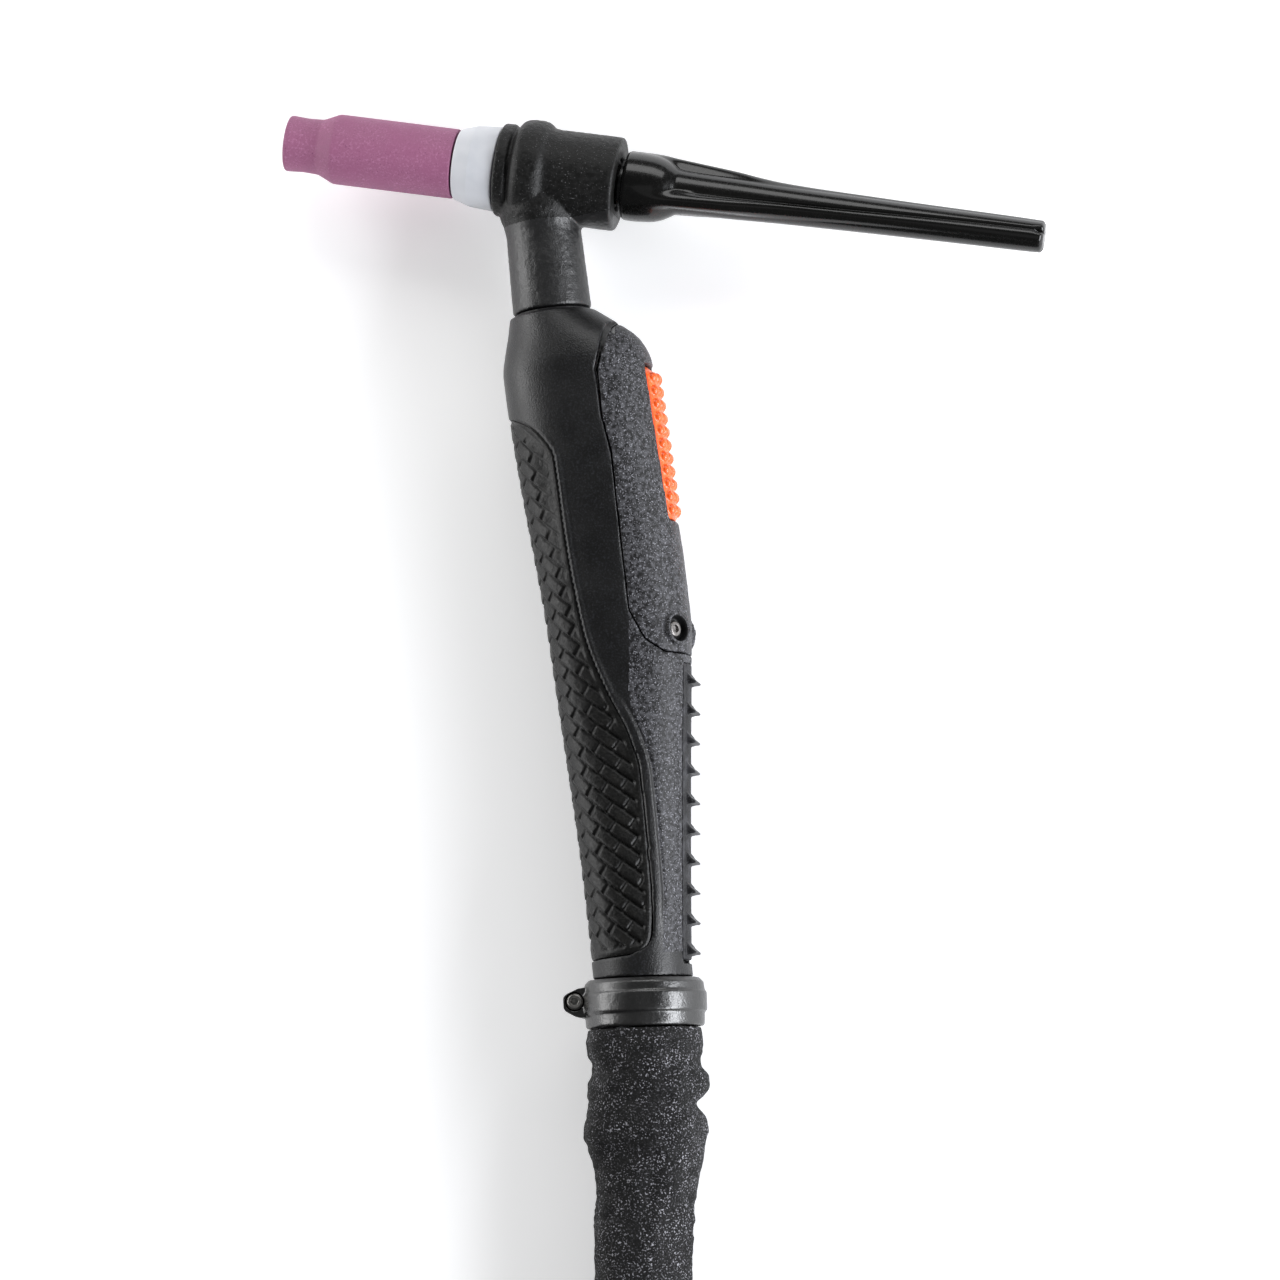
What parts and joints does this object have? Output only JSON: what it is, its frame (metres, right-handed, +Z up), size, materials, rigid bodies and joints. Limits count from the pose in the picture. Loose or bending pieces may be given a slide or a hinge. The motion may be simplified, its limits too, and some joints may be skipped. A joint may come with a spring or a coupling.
{
  "type": "tig torch",
  "caption": "Gas-cooled TIG welding torch with trigger handle, long back cap, ceramic nozzle and coiled sheathed cable with plugs.",
  "frame": {"origin": "on the table under the middle of the torch's box, without its cable", "axes": "+X along the head from the gas nozzle to the back cap, +Y across the table from the cable towards the head, +Z up from the table; the torch lies on its side"},
  "size_m": [0.3786, 0.7166, 0.0564],
  "materials": {
    "ceramic": "matt pink alumina",
    "insulator": "white fluoropolymer",
    "moulded_black": "fine moulded texture",
    "gloss_black": "polished black",
    "smooth_black": "satin black",
    "speckled_grey": "textured, speckled grey-black",
    "rubber": "matt black",
    "seal_rubber": "matt black",
    "orange": "orange, satin",
    "switch_black": "black",
    "copper": "machined copper",
    "brass": "machined brass",
    "steel": "zinc plated",
    "tungsten": "ground tungsten",
    "sheath": "wrinkled, speckled black",
    "webbing": "woven hook and loop"
  },
  "bodies": {
    "root": {"insulator_ring": "insulator", "head_cover": "moulded_black", "cable_collar": "moulded_black", "handle_shell_left": "smooth_black", "handle_shell_right": "smooth_black", "switch_housing": "speckled_grey", "grip_pad": "rubber", "rib_strip": "rubber", "neck_bush": "rubber", "sheath_end_boot": "rubber", "power_plug_boot": "rubber", "power_tail": "rubber", "control_tail": "rubber", "power_cable_core": "rubber", "control_cable_core": "rubber", "power_plug_seal": "seal_rubber", "switch_carrier": "switch_black", "microswitch_body": "switch_black", "control_plug_gland": "switch_black", "control_plug_insert": "switch_black", "collet": "copper", "head_core": "copper", "neck_tube": "copper", "collet_body": "brass", "power_coupling": "brass", "power_plug_pin": "brass", "trigger_pin": "steel", "housing_screw_left": "steel", "housing_screw_right": "steel", "clamp_nut": "steel", "control_plug_shell": "steel", "sheath_run": "sheath", "sheath_coil": "sheath", "sheath_last_turn": "sheath", "coil_strap_a": "webbing", "coil_strap_b": "webbing"},
    "gas_nozzle": {"gas_nozzle": "ceramic"},
    "tungsten_electrode": {"tungsten_electrode": "tungsten"},
    "cap_o_ring": {"cap_o_ring": "seal_rubber"},
    "back_cap": {"back_cap": "gloss_black"},
    "trigger": {"trigger": "orange"},
    "microswitch_lever": {"microswitch_lever": "steel"},
    "clamp_screw": {"clamp_screw": "steel"},
    "control_plug_ring": {"control_plug_ring": "steel"}
  },
  "joints": [
    {"name": "trigger_press", "type": "hinge", "parent": "root", "child": "trigger", "pos_m": [0.00719, 0.01952, 0.017], "axis": [0, 0, 1], "range_deg": [0, 3], "stiffness_Nm_per_rad": 1.5, "springref_deg": -2.86},
    {"name": "microswitch_lever_press", "type": "hinge", "parent": "root", "child": "microswitch_lever", "pos_m": [0.00222, 0.0332, 0.017], "axis": [0, 0, 1], "range_deg": [0, 6.6]},
    {"name": "nozzle_turn", "type": "hinge", "parent": "root", "child": "gas_nozzle", "pos_m": [-0.0825, 0.1086, 0.017], "axis": [1, 0, 0], "continuous": true},
    {"name": "electrode_set_out", "type": "slide", "parent": "root", "child": "tungsten_electrode", "axis": [-1, 0, 0], "range_m": [0, 0.012]},
    {"name": "back_cap_turn", "type": "hinge", "parent": "root", "child": "cap_o_ring", "pos_m": [-0.0135, 0.1086, 0.017], "axis": [1, 0, 0], "range_deg": [0, 2880]},
    {"name": "back_cap_advance", "type": "slide", "parent": "cap_o_ring", "child": "back_cap", "axis": [1, 0, 0], "range_m": [0, 0.01001]},
    {"name": "clamp_screw_turn", "type": "hinge", "parent": "root", "child": "clamp_screw", "pos_m": [0.01039, -0.11625, 0.017], "axis": [0, 0, 1], "continuous": true},
    {"name": "control_ring_turn", "type": "hinge", "parent": "root", "child": "control_plug_ring", "pos_m": [-0.079, -0.424, 0.0112], "axis": [1, 0, 0], "continuous": true}
  ],
  "couplings": [
    {"joint": "microswitch_lever_press", "follows": "trigger_press", "ratio": 2.16},
    {"joint": "back_cap_advance", "follows": "back_cap_turn", "m_per_rad": 0.00019894}
  ]
}
